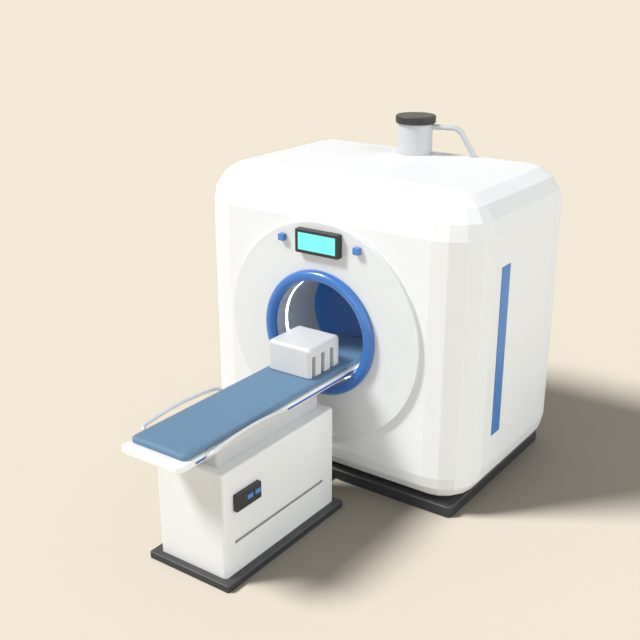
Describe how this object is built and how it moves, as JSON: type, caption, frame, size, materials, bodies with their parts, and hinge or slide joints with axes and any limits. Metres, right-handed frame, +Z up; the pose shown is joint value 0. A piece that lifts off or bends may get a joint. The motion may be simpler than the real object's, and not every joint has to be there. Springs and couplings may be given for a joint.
{
  "type": "mri scanner",
  "caption": "Hospital MRI scanner: faceted white gantry with a round lined bore, lit display and helium turret, and a pedestal table whose padded top slides into the bore.",
  "frame": {"origin": "on the floor, straight below the isocentre, in the middle of the gantry's plinth", "axes": "+Z up, -Y out of the gantry's front along the patient table, +X to the side with the table's control panel"},
  "size_m": [2.108, 3.132, 2.36],
  "materials": {
    "cover_white": "satin white moulded cover",
    "bezel_white": "fine matt, slightly greyer than the covers",
    "ring_blue": "satin blue",
    "stripe_blue": "satin blue inlay",
    "accent_blue": "satin blue strip",
    "liner_grey": "satin pale grey bore lining",
    "bore_blue": "satin dark blue bore lining",
    "light_white": "opal diffuser, lit",
    "screen_cyan": "lit screen",
    "display_dark": "fine matt dark grey",
    "button_blue": "satin blue",
    "base_dark": "textured dark powder coat",
    "cap_dark": "matt dark grey",
    "turret_white": "satin grey-white paint",
    "pipe_metal": "satin metal",
    "grommet_rubber": "pale grey rubber",
    "vessel_steel": "brushed",
    "saddle_paint": "satin grey paint",
    "gradient_resin": "cast resin",
    "former_plastic": "glass-fibre former",
    "runner_plastic": "slippery grey plastic",
    "pedestal_white": "satin white moulded cover",
    "carriage_white": "satin white paint",
    "top_white": "satin white",
    "mattress_blue": "smooth wipe-clean vinyl",
    "rail_grey": "satin pale grey paint",
    "coil_white": "satin white",
    "gear_steel": "machined",
    "block_alloy": "machined",
    "motor_dark": "satin dark paint",
    "roller_plastic": "hard grey roller"
  },
  "bodies": {
    "scanner": {"front_cover": "cover_white", "rear_cover": "cover_white", "left_cover": "cover_white", "right_cover": "cover_white", "top_cover": "cover_white", "front_bezel": "bezel_white", "rear_bezel": "bezel_white", "bore_ring": "ring_blue", "side_stripe_right": "stripe_blue", "side_stripe_left": "stripe_blue", "entry_liner": "liner_grey", "bore_tube": "bore_blue", "light_ring": "light_white", "display_screen": "screen_cyan", "display_housing": "display_dark", "control_panel": "display_dark", "gantry_plinth": "base_dark", "table_plate": "base_dark", "docking_beam": "base_dark", "turret_cap": "cap_dark", "turret": "turret_white", "helium_pipe": "pipe_metal", "pipe_grommet": "grommet_rubber", "magnet_vessel": "vessel_steel", "vessel_saddle_right": "saddle_paint", "vessel_saddle_left": "saddle_paint", "support_column": "saddle_paint", "gradient_coil": "gradient_resin", "body_coil": "former_plastic", "bore_runner_right": "runner_plastic", "bore_runner_left": "runner_plastic", "pedestal_cover": "pedestal_white", "carriage": "carriage_white", "pinion_bearing": "block_alloy", "drive_motor": "motor_dark"},
    "sliding_top": {"tabletop": "top_white", "mattress": "mattress_blue", "head_coil": "coil_white", "drive_rack": "gear_steel", "side_rail_right": "rail_grey", "side_rail_left": "rail_grey", "accent_strip_front_right": "accent_blue", "accent_strip_front_left": "accent_blue", "accent_strip_rear_right": "accent_blue", "accent_strip_rear_left": "accent_blue"},
    "pinion": {"drive_pinion": "gear_steel"},
    "front_rollers": {"roller_axle_front": "roller_plastic"},
    "rear_rollers": {"roller_axle_rear": "roller_plastic"},
    "button_right": {"gantry_button_right": "button_blue"},
    "button_left": {"gantry_button_left": "button_blue"},
    "key_first": {"panel_key_first": "button_blue"},
    "key_second": {"panel_key_second": "button_blue"}
  },
  "joints": [
    {"name": "tabletop_slide", "type": "slide", "parent": "scanner", "child": "sliding_top", "axis": [0, 1, 0], "range_m": [-0.3, 0.96]},
    {"name": "pinion_turn", "type": "hinge", "parent": "scanner", "child": "pinion", "pos_m": [0, -1.19, 0.79275], "axis": [-1, 0, 0], "range_deg": [-434.7, 1380.1]},
    {"name": "front_rollers_turn", "type": "hinge", "parent": "scanner", "child": "front_rollers", "pos_m": [0, -1.94, 0.8167], "axis": [-1, 0, 0], "range_deg": [-578, 1838.5]},
    {"name": "rear_rollers_turn", "type": "hinge", "parent": "scanner", "child": "rear_rollers", "pos_m": [0, -1.092, 0.8167], "axis": [-1, 0, 0], "range_deg": [-578, 1838.5]},
    {"name": "button_right_press", "type": "slide", "parent": "scanner", "child": "button_right", "axis": [0, 1, 0], "range_m": [0, 0.004], "stiffness_N_per_m": 800, "springref_m": -0.002},
    {"name": "button_left_press", "type": "slide", "parent": "scanner", "child": "button_left", "axis": [0, 1, 0], "range_m": [0, 0.004], "stiffness_N_per_m": 800, "springref_m": -0.002},
    {"name": "key_first_press", "type": "slide", "parent": "scanner", "child": "key_first", "axis": [-1, 0, 0], "range_m": [0, 0.003], "stiffness_N_per_m": 800, "springref_m": -0.002},
    {"name": "key_second_press", "type": "slide", "parent": "scanner", "child": "key_second", "axis": [-1, 0, 0], "range_m": [0, 0.003], "stiffness_N_per_m": 800, "springref_m": -0.002}
  ],
  "couplings": [
    {"joint": "pinion_turn", "follows": "tabletop_slide", "rad_per_m": 25},
    {"joint": "front_rollers_turn", "follows": "tabletop_slide", "rad_per_m": 33.333},
    {"joint": "rear_rollers_turn", "follows": "tabletop_slide", "rad_per_m": 33.333}
  ]
}
